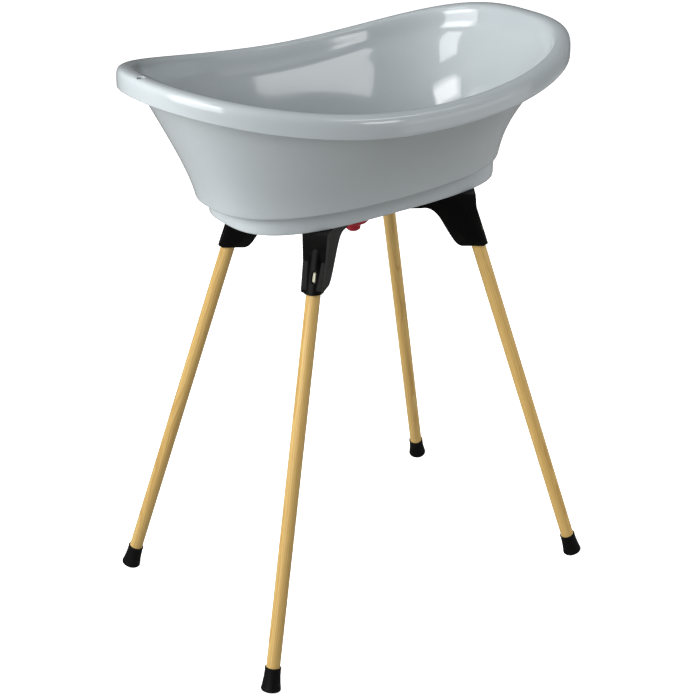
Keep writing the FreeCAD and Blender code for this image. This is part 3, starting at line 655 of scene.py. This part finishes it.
for corner in CORNERS:
    give(frame["nodes"]["stand_arm_" + corner], black)
    give(frame["nodes"]["leg_" + corner], wood_material(corner))
    give(frame["nodes"]["foot_cap_" + corner], rubber)
    give(bending_clip(corner), nylon)
    give(frame["nodes"]["clip_screw_" + corner], steel)


# ------------------------------------------------------------------ stage, light and camera
FLOOR_SIZE = 14.0      # from the middle to each side, in metres
FLOOR_GAP = 0.0002     # below the feet
AZIMUTH, ELEVATION = math.radians(-36.854), math.radians(26.106)
DISTANCE = 2.7273
AIM_OFF_CENTRE = (-0.0113, -0.0170, -0.0495)
LENS, SENSOR = 79.22, 36.0    # in millimetres
GLOW_FROM = (-0.72, -0.10, 0.68)    # the side from which the surroundings shine most


def stage_floor():
    half = FLOOR_SIZE
    obj = new_object("studio_floor", [(-half, -half, 0), (half, -half, 0), (half, half, 0),
                                      (-half, half, 0)], [(0, 1, 2, 3)], smooth=False)
    obj.location.z = min(cad_low.z, 0.0) - FLOOR_GAP
    material, tree, shader = tree_of("studio_floor_look")
    tone = noise(tree, object_place(tree), 0.6, 2.0)
    colour = blend_colour(tree, tone, rgb(0.90, 0.90, 0.90), rgb(0.93, 0.93, 0.93))
    tree.links.new(colour, shader.inputs["Base Color"])
    shader.inputs["Roughness"].default_value = 0.9
    shader.inputs["Specular IOR Level"].default_value = 0.1
    shader.inputs["Emission Color"].default_value = rgb(1.0, 1.0, 1.0)
    shader.inputs["Emission Strength"].default_value = 0.85
    # the floor shows white but throws back less light, as if it were flagged off
    dim = node(tree, "BsdfDiffuse", {"Color": rgb(0.30, 0.30, 0.295)})
    path = node(tree, "LightPath")
    mix = node(tree, "MixShader", {0: path.outputs["Is Camera Ray"], 1: dim.outputs[0],
                                   2: shader.outputs[0]})
    out = next(n for n in tree.nodes if n.type == "OUTPUT_MATERIAL")
    tree.links.new(mix.outputs[0], out.inputs[0])
    obj.data.materials.append(material)


def softbox(name, place, target, size, power, reflected=True):
    light = bpy.data.lights.new(name, "AREA")
    light.shape = "RECTANGLE"
    light.size, light.size_y = size
    light.energy = power
    obj = bpy.data.objects.new(name, light)
    scene.collection.objects.link(obj)
    obj.location = place
    obj.rotation_euler = (Vector(target) - Vector(place)).to_track_quat("-Z", "Y").to_euler()
    obj.visible_camera = False
    obj.visible_glossy = reflected


def studio():
    world = bpy.data.worlds.new("studio")
    scene.world = world
    world.use_nodes = True
    tree = world.node_tree
    tree.nodes.clear()
    out = tree.nodes.new("ShaderNodeOutputWorld")
    toward = node(tree, "VectorMath", {0: node(tree, "TexCoord").outputs["Generated"],
                                       1: GLOW_FROM}, operation="DOT_PRODUCT")
    level = ranged(tree, toward.outputs["Value"], -0.8, 0.95, 0.0, 0.30)
    soft = node(tree, "Background", {"Color": rgb(1.0, 1.0, 1.0), "Strength": level})
    white = node(tree, "Background", {"Color": rgb(1.0, 1.0, 1.0), "Strength": 1.0})
    path = node(tree, "LightPath")
    mix = node(tree, "MixShader", {0: path.outputs["Is Camera Ray"], 1: soft.outputs[0],
                                   2: white.outputs[0]})
    tree.links.new(mix.outputs[0], out.inputs[0])
    middle = (0.0, 0.0, 0.75)
    softbox("key_light", (-2.95, -0.8, 1.7), middle, (2.8, 2.2), 84.0)
    softbox("key_light_behind", (-2.6, 1.5, 2.0), middle, (1.5, 1.9), 84.0, reflected=False)
    softbox("fill_light", (3.2, -0.7, 1.3), middle, (2.0, 2.4), 66.0, reflected=False)
    softbox("fill_light_front", (2.0, -2.6, 1.2), middle, (2.0, 2.0), 8.0)
    softbox("bounce_light", (1.7, -1.7, 0.12), (0.2, 0.0, 0.85), (1.5, 1.5), 6.0)
    # panes that give the bath its bright window reflections
    inside = (0.3, 0.1, 0.9)
    softbox("pane_high", (-1.12, -0.12, 2.83), inside, (0.8, 0.6), 8.0)
    softbox("pane_low", (-1.88, -0.6, 2.0), inside, (1.6, 0.8), 18.0)
    far_wall = (0.1, 0.2, 0.9)
    softbox("pane_front", (1.07, -1.6, 2.46), far_wall, (1.2, 0.45), 6.0)
    softbox("pane_front_low", (0.88, -2.26, 1.22), far_wall, (0.5, 0.5), 3.5)


def camera():
    target = (cad_low + cad_high) / 2 + Vector(AIM_OFF_CENTRE)
    back = Vector((math.sin(AZIMUTH) * math.cos(ELEVATION),
                   -math.cos(AZIMUTH) * math.cos(ELEVATION), math.sin(ELEVATION)))
    data = bpy.data.cameras.new("camera")
    data.sensor_width = SENSOR
    data.lens = LENS
    obj = bpy.data.objects.new("camera", data)
    scene.collection.objects.link(obj)
    obj.location = target + back * DISTANCE
    obj.rotation_euler = (-back).to_track_quat("-Z", "Y").to_euler()
    scene.camera = obj


stage_floor()
studio()
camera()
scene.view_settings.view_transform = "Standard"
scene.view_settings.look = "None"
